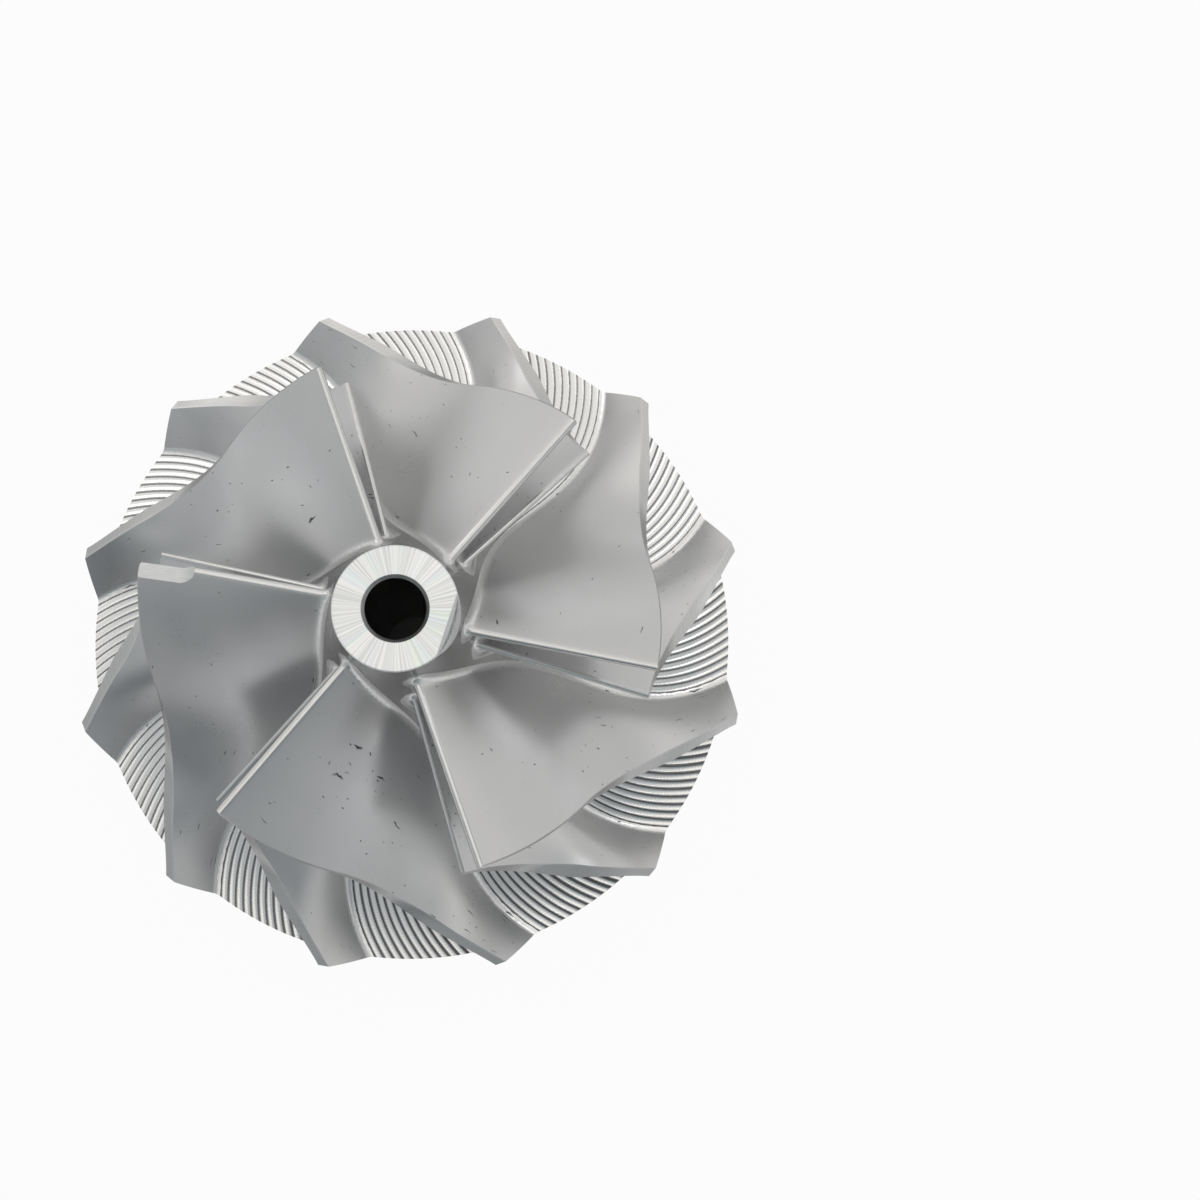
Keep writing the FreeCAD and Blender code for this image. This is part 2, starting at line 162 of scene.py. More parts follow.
print("floor centre", tuple(round(value, 2) for value in FLOOR_CENTRE))

# %% The blade tops in section
BEND_CENTRE_ACROSS = INDUCER_RADIUS + SHROUD_ARC
BEND_END_ANGLE = 1.5 * math.pi - OUTLET_SLOPE
BEND_END_ACROSS = BEND_CENTRE_ACROSS + SHROUD_ARC * math.cos(BEND_END_ANGLE)
BEND_END_UP = OUTLET_TOP + (TIP_RADIUS - BEND_END_ACROSS) * math.tan(OUTLET_SLOPE)
BEND_CENTRE_UP = BEND_END_UP - SHROUD_ARC * math.sin(BEND_END_ANGLE)
INLET_LENGTH = INLET_TOP - BEND_CENTRE_UP
BEND_LENGTH = SHROUD_ARC * (BEND_END_ANGLE - math.pi)
OUTLET_LENGTH = (TIP_RADIUS - BEND_END_ACROSS) / math.cos(OUTLET_SLOPE)
TOP_LENGTH = INLET_LENGTH + BEND_LENGTH + OUTLET_LENGTH
SPLITTER_TOP_STATION = (INLET_TOP - SPLITTER_TOP) / TOP_LENGTH
SPLITTER_ROOT_FRACTION = (floor_angle(SPLITTER_ROOT) - FLOOR_START) / (FLOOR_END - FLOOR_START)
SPLITTER_ROOT_STATION = SPLITTER_ROOT_FRACTION ** (1 / RULING_BIAS)


def top_point(fraction):
    """Radius and height of the blade tops at a fraction of their length."""
    run = fraction * TOP_LENGTH
    if run < INLET_LENGTH:
        return Vector((INDUCER_RADIUS, INLET_TOP - run))
    if run < INLET_LENGTH + BEND_LENGTH:
        angle = math.pi + (run - INLET_LENGTH) / SHROUD_ARC
        across = BEND_CENTRE_ACROSS + SHROUD_ARC * math.cos(angle)
        return Vector((across, BEND_CENTRE_UP + SHROUD_ARC * math.sin(angle)))
    rest = run - INLET_LENGTH - BEND_LENGTH
    across = BEND_END_ACROSS + rest * math.cos(OUTLET_SLOPE)
    return Vector((across, BEND_END_UP - rest * math.sin(OUTLET_SLOPE)))


def shroud_radius(height):
    """Radius of the turned envelope of the blade tops at a height."""
    if height > BEND_CENTRE_UP:
        return INDUCER_RADIUS
    if height > BEND_END_UP:
        return BEND_CENTRE_ACROSS - math.sqrt(SHROUD_ARC**2 - (height - BEND_CENTRE_UP) ** 2)
    return TIP_RADIUS - (height - OUTLET_TOP) / math.tan(OUTLET_SLOPE)


def over_shroud(point):
    """How far a place stands out of the envelope."""
    return math.hypot(point.x, point.y) - shroud_radius(point.z)


def outlet_radius(height):
    """Radius of the turned outlet: the rim, then the slant of the trailing edges."""
    slant = (TIP_RADIUS - DISC_RADIUS) / (OUTLET_TOP - RIM_TOP)
    return DISC_RADIUS + max(0.0, height - RIM_TOP) * slant


print("length of the blade tops", round(TOP_LENGTH, 2), "mm")

# %% [markdown]
# ## The middle surface of a blade
#
# A blade is a twisted sheet of straight rulings. Each ruling joins a point on the hub floor to
# a point on the envelope, and two smooth laws say how far the root and the top have turned
# round the axis. The rulings crowd toward the inlet at the root, where the floor is steep.


# %% Rulings from the floor to the blade tops
def turn(controls, fraction):
    """The angle round the axis, as a Bezier law of the way along the blade."""
    degree = len(controls) - 1
    total = 0.0
    for index, control in enumerate(controls):
        weight = math.comb(degree, index) * fraction**index * (1 - fraction) ** (degree - index)
        total += weight * control
    return math.radians(total)


def in_space(section, angle):
    return Vector((section.x * math.cos(angle), section.x * math.sin(angle), section.y))


def camber_root(station):
    fraction = station**RULING_BIAS
    return in_space(root_point(fraction), turn(ROOT_TURN, fraction))


def camber_top(station):
    return in_space(top_point(station), turn(TOP_TURN, station))


def along(camber, station):
    """The direction of a camber line at a station."""
    step = 0.004
    before = max(station - step, 0.0)
    return (camber(station + step) - camber(before)).normalized()


def root_width(leading, way):
    """Thickness at the root: a curve through the leading edge, the middle and the outlet."""
    rise = 4 * ROOT_THICKNESS - 3 * leading - OUTLET_THICKNESS
    fall = 2 * leading + 2 * OUTLET_THICKNESS - 4 * ROOT_THICKNESS
    return leading + rise * way + fall * way**2


def top_width(leading, way):
    """Thickness at the top, which narrows quickly behind the leading edge."""
    return TOP_THICKNESS + (leading - TOP_THICKNESS) * max(0.0, 1 - way / LEADING_SHARE)


print("root turns", ROOT_TURN[-1] - ROOT_TURN[0], "degrees, top turns", TOP_TURN[-1])

# %% [markdown]
# ## The outline of one blade, level by level
#
# The skin of a blade is a closed sleeve. Its levels start inside the hub, climb the fillet that
# the cutter's round end leaves at the root, go up the flank, and close over the top land. At
# each level the sleeve runs from the trailing edge along one flank, round the leading edge and
# back along the other. Each place is found on its ruling by halving, so that the skin meets
# the floor, the envelope and the slanted outlet exactly.

# %% Levels of the sleeve
FILLET_RADIUS = 1.35
FILLET_STEPS = 6
FLANK_STEPS = 14
TOP_BREAK = 0.17
SUNK = 0.6
SKIN_MERGE = 0.002
FOOT, FILLET, FLANK, EDGE = "foot", "fillet", "flank", "edge"
LEVELS = [(FOOT, -SUNK), (FOOT, -0.02)]
LEVELS += [(FILLET, step / FILLET_STEPS) for step in range(1, FILLET_STEPS)]
LEVELS += [(FLANK, step / FLANK_STEPS) for step in range(FLANK_STEPS + 1)]
LEVELS += [(EDGE, 0.0)]
FIRST_FLANK_LEVEL = LEVELS.index((FLANK, 0.0))
print(len(LEVELS), "levels from the hub to the top land")


# %% Find where a value changes sign
def halve(value, low, high, steps=26):
    """The place between low and high where a rising value passes zero."""
    for _ in range(steps):
        middle = (low + high) / 2
        if value(middle) > 0:
            high = middle
        else:
            low = middle
    return (low + high) / 2


print("a quarter, by halving:", halve(lambda value: value - 0.25, 0.0, 1.0))

# %% One place on the skin of a blade
ROOT_SEARCH = (-0.2, 0.3)
TOP_SEARCH = (0.7, 1.2)
DROP_SEARCH = (-0.5, 0.5, 16)
OUTLET_SEARCH = (0.85, 1.08, 18)


class Blade:
    """One kind of blade: the stations where its root and top begin, and its thickness there."""

    def __init__(self, root_first, top_first, leading):
        self.root_first = root_first
        self.top_first = top_first
        self.leading = leading
        self.seen = {}

    def rail(self, way, side, around):
        """A straight line up the skin: its root, its top and the skin's outward direction.

        way is 0 at the leading edge and 1 at the outlet, around is the angle round the leading
        edge, and side is 1 or -1 on a flank.
        """
        key = (way, side, around)
        if key in self.seen:
            return self.seen[key]
        root_station = self.root_first + (1 - self.root_first) * way
        top_station = self.top_first + (1 - self.top_first) * way
        root = camber_root(root_station)
        top = camber_top(top_station)
        ruling = (top - root).normalized()
        root_side = along(camber_root, root_station).cross(ruling).normalized()
        top_side = along(camber_top, top_station).cross(ruling).normalized()
        middle_side = (root_side + top_side).normalized()
        if around is None:
            low = root + middle_side * (side * root_width(self.leading, way) / 2)
            high = top + middle_side * (side * top_width(self.leading, way) / 2)
            outward = root_side * side
        else:
            forward = ruling.cross(middle_side).normalized()
            if forward.dot(along(camber_top, top_station)) > 0:
                forward = -forward
            outward = middle_side * math.cos(around) + forward * math.sin(around)
            low = root + outward * (self.leading / 2)
            high = top + outward * (self.leading / 2)
        line = high - low
        start = halve(lambda share: -into_metal(low + line * share), *ROOT_SEARCH)
        end = halve(lambda share: over_shroud(low + line * share), *TOP_SEARCH)
        corner = low + line * start
        rim = low + line * end
        self.seen[key] = (corner, rim, outward)
        return self.seen[key]

    def place(self, way, side, around, level):
        """The place of one corner of the skin, in millimetres."""
        kind, share = level
        corner, rim, outward = self.rail(way, side, around)
        up = (rim - corner).normalized()
        if kind is EDGE:
            return rim - outward * TOP_BREAK
        normal = floor_normal(corner)
        edge = normal.cross(outward).normalized()
        away = edge.cross(normal)
        if away.dot(outward) < 0:
            away = -away
        climb = (up - edge * up.dot(edge)).normalized()
        opening = math.acos(max(-1.0, min(1.0, climb.dot(away))))
        reach = FILLET_RADIUS / math.tan(opening / 2)
        upper = corner + up * (reach / up.dot(climb))
        if kind is FLANK:
            last = rim - up * TOP_BREAK
            return upper.lerp(last, share)
        lift = FILLET_RADIUS / math.sin(opening / 2)
        centre = corner + (climb + away).normalized() * lift
        foot = corner + away * reach
        drop = halve(lambda depth: into_metal(foot - normal * depth), *DROP_SEARCH)
        if kind is FOOT:
            return foot - normal * (drop - share)
        slide = upper - (corner + climb * reach)
        spoke = (foot - centre).lerp(corner + climb * reach - centre, share)
        point = centre + spoke.normalized() * FILLET_RADIUS
        return point + slide * share - normal * drop * (1 - share) ** 2

    def last_way(self, side, level):
        """The way along the blade at which a level reaches the slanted outlet."""

        def value(way):
            point = self.place(way, side, None, level)
            return math.hypot(point.x, point.y) - outlet_radius(point.z)

        return halve(value, *OUTLET_SEARCH)


full_blade = Blade(0.0, 0.0, LEADING_THICKNESS)
splitter_blade = Blade(SPLITTER_ROOT_STATION, SPLITTER_TOP_STATION, SPLITTER_THICKNESS)
print("a splitter's root starts at", round(SPLITTER_ROOT_STATION, 3), "of the way")

# %% [markdown]
# ## Blades from a folded grid
#
# A flat grid from bmesh has the right connections: one way round the blade and one way up it.
# Its corners are moved to their places on the skin, the two ends of the sleeve are merged, and
# the result is a closed shell. This is less work than a loft of many sections, and each row of
# faces follows the way that the real cutter moved.

# %% Fold a grid round one blade
ALONG_STEPS = 46
ROUND_STEPS = 8
CROWDING = 1.12
FLANK_FACE, TOP_FACE, EDGE_FACE = 0, 1, 2


def grid_cell(vert, columns, rows):
    """Column and row of a corner of the flat grid, which reaches from -1 to 1."""
    column = round((vert.co.x + 1) / 2 * (columns - 1))
    return column, round((vert.co.y + 1) / 2 * (rows - 1))


def sleeve_places(blade):
    """For each column of the grid, a function from a level to its place in space."""
    ends = {(side, level): blade.last_way(side, level) for side in (1, -1) for level in LEVELS}

    def flank(side, share):
        def at(level):
            return blade.place(ends[(side, level)] * share, side, None, level)

        return at

    def nose(angle):
        return lambda level: blade.place(0.0, 1, angle, level)

    def between(one, two):
        return lambda level: (one(level) + two(level)) / 2

    eased = [(step / ALONG_STEPS) ** CROWDING for step in range(ALONG_STEPS + 1)]
    columns = [between(flank(1, 1.0), flank(-1, 1.0))]
    columns += [flank(1, share) for share in reversed(eased)]
    columns += [nose(math.pi * step / ROUND_STEPS) for step in range(1, ROUND_STEPS)]
    columns += [flank(-1, share) for share in eased]
    columns.append(columns[0])
    return columns


def running_length(points):
    """The length of a line of points up to each of them."""
    lengths = [0.0]
    for one, two in zip(points, points[1:]):
        lengths.append(lengths[-1] + (two - one).length)
    return lengths


def closing_row(row):
    """The middle line that a row closes on, halfway between its two sides."""
    return [(one + other) / 2 for one, other in zip(row, reversed(row))]


def face_kind(cells, count, last_row):
    """Which finish a face of the grid gets, from the columns and rows of its corners."""
    columns = [column for column, _ in cells]
    lowest_row = min(row for _, row in cells)
    at_outlet = max(columns) == 1 or min(columns) == count - 2
    if lowest_row >= last_row - 1 or at_outlet:
        return TOP_FACE
    leads = ALONG_STEPS + 1 <= min(columns) <= ALONG_STEPS + ROUND_STEPS
    return EDGE_FACE if leads and lowest_row > FIRST_FLANK_LEVEL else FLANK_FACE


def fold_blade(blade):
    """A closed shell of one blade, still at angle zero and in metres.

    Its map "skin" holds millimetres along the blade and millimetres up from the fillet.
    """
    columns = sleeve_places(blade)
    count = len(columns)
    rows = [[column(level) for column in columns] for level in LEVELS]
    along_blade = running_length(rows[len(LEVELS) // 2])
    up_blade = running_length([row[count // 2] for row in rows])
    up_blade = [length - up_blade[FIRST_FLANK_LEVEL] for length in up_blade]
    rows = [closing_row(rows[0]), *rows, closing_row(rows[-1])]
    up_blade = [up_blade[0], *up_blade, up_blade[-1]]
    shell = bmesh.new()
    skin = shell.loops.layers.uv.new("skin")
    bmesh.ops.create_grid(shell, x_segments=count - 1, y_segments=len(rows) - 1, size=1.0)
    for face in shell.faces:
        cells = [grid_cell(loop.vert, count, len(rows)) for loop in face.loops]
        for loop, (column, row) in zip(face.loops, cells):
            loop[skin].uv = (along_blade[column], up_blade[row])
        face.material_index = face_kind(cells, count, len(rows) - 1)
    for vert in shell.verts:
        column, row = grid_cell(vert, count, len(rows))
        vert.co = rows[row][column] * MM
    bmesh.ops.remove_doubles(shell, verts=shell.verts, dist=SKIN_MERGE * MM)
    bmesh.ops.recalc_face_normals(shell, faces=shell.faces)
    return shell


full_shell = fold_blade(full_blade)
splitter_shell = fold_blade(splitter_blade)
print("faces of a full blade and a splitter:", len(full_shell.faces), len(splitter_shell.faces))

# %% [markdown]
# ## Set the blades round the hub
#
# Spin with duplicates copies one shell round the axis. The full blades and the splitters are
# set half a pitch apart. One full blade is ground flat near the corner of its leading edge to
# balance the wheel: a prism is taken away from it, and the cut face gets the ground finish.


# %% Names of the finishes
new_finish = bpy.data.materials.new
flank_finish = new_finish("swept_flank")
edge_finish = new_finish("leading_edge")
top_finish = new_finish("turned_blade_top")
ground_finish = new_finish("ground_flat")
floor_finish = new_finish("grooved_floor")
turned_finish = new_finish("turned_face")
print("six finishes of one metal")


# %% Copy a shell round the axis
SHARP = 32.0
FLOOR_SHARP = 50.0


def turn_to(shell, degrees):
    turned = Matrix.Rotation(math.radians(degrees), 3, "Z")
    bmesh.ops.rotate(shell, verts=shell.verts, cent=(0, 0, 0), matrix=turned)


def copy_round(shell, copies, step_degrees):
    """Adds copies of a shell, each turned a step farther round the axis."""
    bmesh.ops.spin(
        shell,
        geom=shell.verts[:] + shell.edges[:] + shell.faces[:],
        cent=(0, 0, 0),
        axis=(0, 0, 1),
        angle=math.radians(step_degrees * copies),
        steps=copies,
        use_duplicate=True,
    )


def mesh_of(shell, name):
    """A mesh from a bmesh, which is freed."""
    mesh = bpy.data.meshes.new(name)
    shell.to_mesh(mesh)
    shell.free()
    return mesh


def add_object(name, data):
    """A new object at the origin of the scene."""
    made = bpy.data.objects.new(name, data)
    bpy.context.scene.collection.objects.link(made)
    return made


def shade(mesh, sharp_degrees):
    mesh.shade_smooth()
    mesh.set_sharp_from_angle(angle=math.radians(sharp_degrees))


def finished_object(shell, name, finishes, sharp_degrees=SHARP):
    """A mesh object at the origin, smooth except at its sharp edges."""
    mesh = mesh_of(shell, name)
    for finish in finishes:
        mesh.materials.append(finish)
    piece = add_object(name, mesh)
    shade(mesh, sharp_degrees)
    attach(piece, "root")
    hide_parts("compressor_wheel")
    print(name, len(mesh.polygons), "faces")
    return piece


print("edges stay crisp from", SHARP, "degrees, or", FLOOR_SHARP, "on the floor")


# %% Take a prism away
def prism_cutter(corners, degrees, width):
    """An upright section made a prism as wide as the cut, turned round the axis."""
    prism = bmesh.new()
    near_side = -width / 2 * MM
    section = [prism.verts.new((across * MM, near_side, up * MM)) for across, up in corners]
    swept = bmesh.ops.extrude_face_region(prism, geom=[prism.faces.new(section)])["geom"]
    moved = [item for item in swept if isinstance(item, bmesh.types.BMVert)]
    bmesh.ops.translate(prism, verts=moved, vec=(0.0, width * MM, 0.0))
    bmesh.ops.recalc_face_normals(prism, faces=prism.faces)
    turn_to(prism, degrees)
    mesh = mesh_of(prism, "cutter")
    mesh.materials.append(ground_finish)
    return add_object("cutter", mesh)


def cut_across(piece, corners, degrees, width, sharp_degrees=SHARP):
    """Cuts a prism out of a piece, and gives the cut face the ground finish."""
    cutter = prism_cutter(corners, degrees, width)
    cut = piece.modifiers.new("cut", "BOOLEAN")
    cut.operation = "DIFFERENCE"
    cut.solver = "EXACT"
    cut.material_mode = "TRANSFER"
    cut.object = cutter
    bpy.context.view_layer.update()
    evaluated = piece.evaluated_get(bpy.context.evaluated_depsgraph_get())
    result = bpy.data.meshes.new_from_object(evaluated)
    piece.modifiers.clear()
    bpy.data.objects.remove(cutter)
    before = len(piece.data.polygons)
    piece.data = result
    shade(result, sharp_degrees)
    print(piece.name, before, "faces, after the cut", len(result.polygons))


print("cut faces get the finish", ground_finish.name)

# %% Full blades and splitters
PITCH = 360.0 / FULL_BLADES
blade_finishes = (flank_finish, top_finish, edge_finish)
turn_to(full_shell, FIRST_BLADE)
copy_round(full_shell, FULL_BLADES - 1, PITCH)
full_blades = finished_object(full_shell, "full_blades", blade_finishes)
turn_to(splitter_shell, FIRST_BLADE - PITCH / 2)
copy_round(splitter_shell, FULL_BLADES - 1, PITCH)
finished_object(splitter_shell, "splitter_blades", blade_finishes)

# %% Grind the balancing flat
RUNOUT_STEPS = 10


def grind_section():
    """The section that is ground away: an arc that runs into a flat, and air above them."""
    inner = Vector((INDUCER_RADIUS - GRIND_LENGTH, INLET_TOP - GRIND_START))
    outer = Vector((INDUCER_RADIUS + OVERRUN, INLET_TOP - GRIND_DEPTH))
    flat = (outer - inner).normalized()
    centre = inner + Vector((-flat.y, flat.x)) * GRIND_RUNOUT
    first = -math.acos((inner.x - GRIND_REACH - centre.x) / GRIND_RUNOUT)
    last = math.atan2(inner.y - centre.y, inner.x - centre.x)
    arc = []
    for step in range(RUNOUT_STEPS + 1):
        angle = first + (last - first) * step / RUNOUT_STEPS
        arc.append(centre + Vector((math.cos(angle), math.sin(angle))) * GRIND_RUNOUT)
    above = NOSE_TOP + OVERRUN
    return [*arc, outer, Vector((outer.x, above)), Vector((arc[0].x, above))]


cut_across(full_blades, grind_section(), FIRST_BLADE + PITCH, GRIND_WIDTH)

# %% [markdown]
# ## The floor of the passages, with its grooves
#
# Each pass of the ball-nosed cutter leaves a shallow groove, and between two passes a cusp
# stands. The passes run side by side from one blade's fillet to the next one's, so they spread
# toward the rim and close up toward the nose, where they fade. The floor is spun as rings, and
# the rings are then turned and spaced so that every groove has its own columns of corners.

# %% Where the fillets end on the floor
FOOT_STEPS = 48
FOOT_REACH = 1.05


def near(angle, other):
    """The same direction, counted within half a turn of another angle."""
    while angle < other - 180:
        angle += 360
    while angle > other + 180:
        angle -= 360
    return angle


def foot_line(blade, side):
    """Radius and angle of the fillet's edge along one side of a blade, from its inlet."""
    line = []
    for step in range(FOOT_STEPS + 1):
        point = blade.place(FOOT_REACH * step / FOOT_STEPS, side, None, LEVELS[1])
        angle = math.degrees(math.atan2(point.y, point.x))
        if line:
            angle = near(angle, line[-1][1])
        line.append((math.hypot(point.x, point.y), angle))
    return line


def angle_on(line, radius):
    """The angle of a line at a radius, or None inside its start."""
    if radius <= line[0][0]:
        return None
    for (low, low_angle), (high, high_angle) in zip(line, line[1:]):
        if radius <= high:
            share = (radius - low) / max(high - low, 1e-9)
            return low_angle + (high_angle - low_angle) * share
    return line[-1][1]


def camber_angle(radius):
    """The turn of a full blade's root at a radius on the floor, in degrees."""
    angle = 2 * math.pi - math.acos((radius - FLOOR_CENTRE.x) / FLOOR_ACROSS)
    fraction = (angle - FLOOR_START) / (FLOOR_END - FLOOR_START)
    return math.degrees(turn(ROOT_TURN, max(0.0, fraction)))


full_feet = {side: foot_line(full_blade, side) for side in (1, -1)}
splitter_feet = {side: foot_line(splitter_blade, side) for side in (1, -1)}
print("fillets meet the rim at", [round(full_feet[side][-1][1], 2) for side in (1, -1)])

# %% The columns of one ring of the floor
GROOVES = 13
GROOVE_STEPS = 8
UNDER_BLADE = 2
FOOT_FADE = 3.0
MIDDLE_RADIUS = 30.0


def smooth_ramp(value, low, high):
    share = max(0.0, min(1.0, (value - low) / (high - low)))
    return share * share * (3 - 2 * share)


def half_width(feet, side, radius):
    """Degrees from a blade's middle line to the edge of its fillet, at a radius."""
    edge = angle_on(feet[side], radius)
    return None if edge is None else near(edge - camber_angle(radius), 0.0)


def ring_columns(radius):
    """Angle, groove place and width of passage of each column, all the way round."""
    start = {}
    for name, feet in (("full", full_feet), ("splitter", splitter_feet)):
        for side in (1, -1):
            width = half_width(feet, side, radius)
            if width is None:
                first_radius = feet[side][0][0]
                first_width = half_width(feet, side, first_radius + 0.01)
                width = first_width * smooth_ramp(radius, first_radius - FOOT_FADE, first_radius)
            start[(name, side)] = width
    middle = camber_angle(radius) + FIRST_BLADE
    columns = []
    half_pitch = PITCH / 2
    for index in range(2 * FULL_BLADES):
        here, there = ("splitter", "full") if index % 2 else ("full", "splitter")
        left = max(start[(here, 1)], start[(here, -1)])
        right = min(start[(there, 1)], start[(there, -1)])
        base = middle + index * half_pitch
        first = base + left
        last = base + half_pitch + right
        for step in range(UNDER_BLADE):
            columns.append((base + left * step / UNDER_BLADE, None, last - first))
        count = GROOVES * GROOVE_STEPS
        for step in range(count + 1):
            place = step / GROOVE_STEPS
            columns.append((first + (last - first) * step / count, place, last - first))
        for step in range(1, UNDER_BLADE):
            columns.append((last - right * step / UNDER_BLADE, None, last - first))
    return columns


COLUMNS = len(ring_columns(MIDDLE_RADIUS))
print(COLUMNS, "columns round the floor")

# %% The floor's section, and how a section is spun
FLOOR_RINGS = 52
RIM_SKIRT = 0.5
RIM_LAP = 2.0
INNER_RADIUS = 6.5
INNER_FOOT = 12.0
NOSE_LIP = 1.0
EDGE_BREAK = 0.15
SECTORS = 12
RING_MERGE = 0.0005


def floor_section():
    """Corners of the floor's section, from the nose down to the rim, and back inside."""
    start = floor_angle(NOSE_TOP - EDGE_BREAK)
    reach = FLOOR_END - start
    outer = [floor_at(start + reach * step / FLOOR_RINGS) for step in range(FLOOR_RINGS + 1)]
    skirt_foot = RIM_TOP - RIM_SKIRT
    inside = [
        (DISC_RADIUS, skirt_foot),
        (DISC_RADIUS - RIM_LAP, skirt_foot),
        (INNER_RADIUS, INNER_FOOT),
        (INNER_RADIUS, NOSE_TOP - NOSE_LIP),
    ]
    return outer, [Vector(corner) for corner in inside]


def spin_section(corners, steps):
    """A closed ring of revolution from a closed section, spun as twelve equal sectors."""
    shell = bmesh.new()
    verts = [shell.verts.new((corner.x * MM, 0.0, corner.y * MM)) for corner in corners]
    edges = [shell.edges.new((one, two)) for one, two in zip(verts, verts[1:] + verts[:1])]
    bmesh.ops.spin(
        shell,
        geom=verts + edges,
        cent=(0, 0, 0),
        axis=(0, 0, 1),
        angle=2 * math.pi / SECTORS,
        steps=steps // SECTORS,
    )
    copy_round(shell, SECTORS - 1, 360.0 / SECTORS)
    bmesh.ops.remove_doubles(shell, verts=shell.verts, dist=RING_MERGE * MM)
    bmesh.ops.recalc_face_normals(shell, faces=shell.faces)
    return shell


outer_section, inner_section = floor_section()
print("the floor's section has", len(outer_section) + len(inner_section), "corners")

# %% Spin the floor and carve the grooves
CUTTER_RADIUS = 1.2
PASS_SLANT = 0.78
GROOVES_FADE = (12.0, 22.0)
MID_GROOVE = 0.5


def groove_depth(place, radius, gap_degrees):
    """How deep the cutter went at a place counted in grooves, in millimetres.

    The passes run slantwise, so they lie closer together than their steps round the axis.
    """
    pitch = math.radians(gap_degrees) * radius * PASS_SLANT / GROOVES
    across = place - math.floor(place) - 0.5
    deepest = pitch**2 / (8 * CUTTER_RADIUS)
    return deepest * (1 - (2 * across) ** 2) * smooth_ramp(radius, *GROOVES_FADE)


def ride_marks(shell, marks):
    """Writes the map "passes": the place counted in grooves, and millimetres down the floor."""
    passes = shell.loops.layers.uv.new("passes")
    for face in shell.faces:
        for loop in face.loops:
            loop[passes].uv = marks.get(loop.vert, (MID_GROOVE, 0.0))


floor_shell = spin_section(outer_section + inner_section, COLUMNS)
ring_of_height = {round(corner.y, 3): ring for ring, corner in enumerate(outer_section)}
rings = [ring_columns(max(corner.x, outer_section[0].x)) for corner in outer_section]
down_floor = running_length(outer_section)
floor_marks = {}
for vert in floor_shell.verts:
    radius = math.hypot(vert.co.x, vert.co.y) / MM
    column = round(math.atan2(vert.co.y, vert.co.x) / (2 * math.pi) * COLUMNS) % COLUMNS
    height = vert.co.z / MM
    ring = ring_of_height.get(round(height, 3))
    if ring is None:
        on_skirt = radius > MIDDLE_RADIUS
        angle, place, gap = rings[-1 if on_skirt else 0][column]
        vert.co = in_space(Vector((radius, height)), math.radians(angle)) * MM
        if on_skirt:
            floor_marks[vert] = (MID_GROOVE if place is None else place, down_floor[-1])
        continue
    angle, place, gap = rings[ring][column]
    point = in_space(outer_section[ring], math.radians(angle))
    depth = 0.0 if place is None else groove_depth(place, radius, gap)
    vert.co = (point - floor_normal(point) * depth) * MM
    floor_marks[vert] = (MID_GROOVE if place is None else place, down_floor[ring])
ride_marks(floor_shell, floor_marks)
hub_floor = finished_object(floor_shell, "hub_floor", (floor_finish,), FLOOR_SHARP)

# %% [markdown]
# ## The turned core
#
# The nose face, the bore, the tapered back and the boss were all made on a lathe, so one spun
# section gives them, with every edge slightly broken as a turner leaves it.

# %% Spin the core
CORE_STEPS = 288
CORE_LAP = 3.0
CORE_INSET = 0.4
CORE_FOOT = 14.0
RIM_SEAM = 0.05


def core_section():
    """Corners of the core's section, from the back's chamfer round to the bore."""
    back_flat = DISC_RADIUS - RIM_FLAT
    skirt_foot = RIM_TOP - RIM_SKIRT
    outline = [
        (BORE_MOUTH, 0.0),
        (BOSS_RADIUS - EDGE_BREAK, 0.0),
        (BOSS_RADIUS, EDGE_BREAK),
        (BOSS_RADIUS, BOSS_STEP),
        (back_flat, RIM_UNDERSIDE),
        (DISC_RADIUS - EDGE_BREAK, RIM_UNDERSIDE),
        (DISC_RADIUS, RIM_UNDERSIDE + EDGE_BREAK),
        (DISC_RADIUS, skirt_foot + RIM_SEAM),
        (DISC_RADIUS - CORE_LAP, skirt_foot),
        (NOSE_RADIUS - CORE_INSET, CORE_FOOT),
        (NOSE_RADIUS - CORE_INSET, NOSE_TOP - NOSE_LIP),
        (NOSE_RADIUS, NOSE_TOP - EDGE_BREAK),
        (NOSE_RADIUS - EDGE_BREAK, NOSE_TOP),
        (BORE_MOUTH, NOSE_TOP),
        (BORE_RADIUS, NOSE_TOP - BORE_CHAMFER),
        (BORE_RADIUS, BORE_CHAMFER),
    ]
    return [Vector(corner) for corner in outline]


core_shell = spin_section(core_section(), CORE_STEPS)
hub_core = finished_object(core_shell, "hub_core", (turned_finish,))

# %% Cut the balancing chord across the nose
nose_reach = NOSE_RADIUS + OVERRUN
nose_rise = math.tan(BALANCE_SLOPE)
nose_cut = [
    (nose_reach, NOSE_TOP - (nose_reach - BALANCE_CHORD) * nose_rise),
    (nose_reach, NOSE_TOP + OVERRUN),
    (BALANCE_CHORD - OVERRUN / nose_rise, NOSE_TOP + OVERRUN),
]
cut_across(hub_core, nose_cut, BALANCE_ANGLE, 2 * nose_reach)
cut_across(hub_floor, nose_cut, BALANCE_ANGLE, 2 * nose_reach, FLOOR_SHARP)
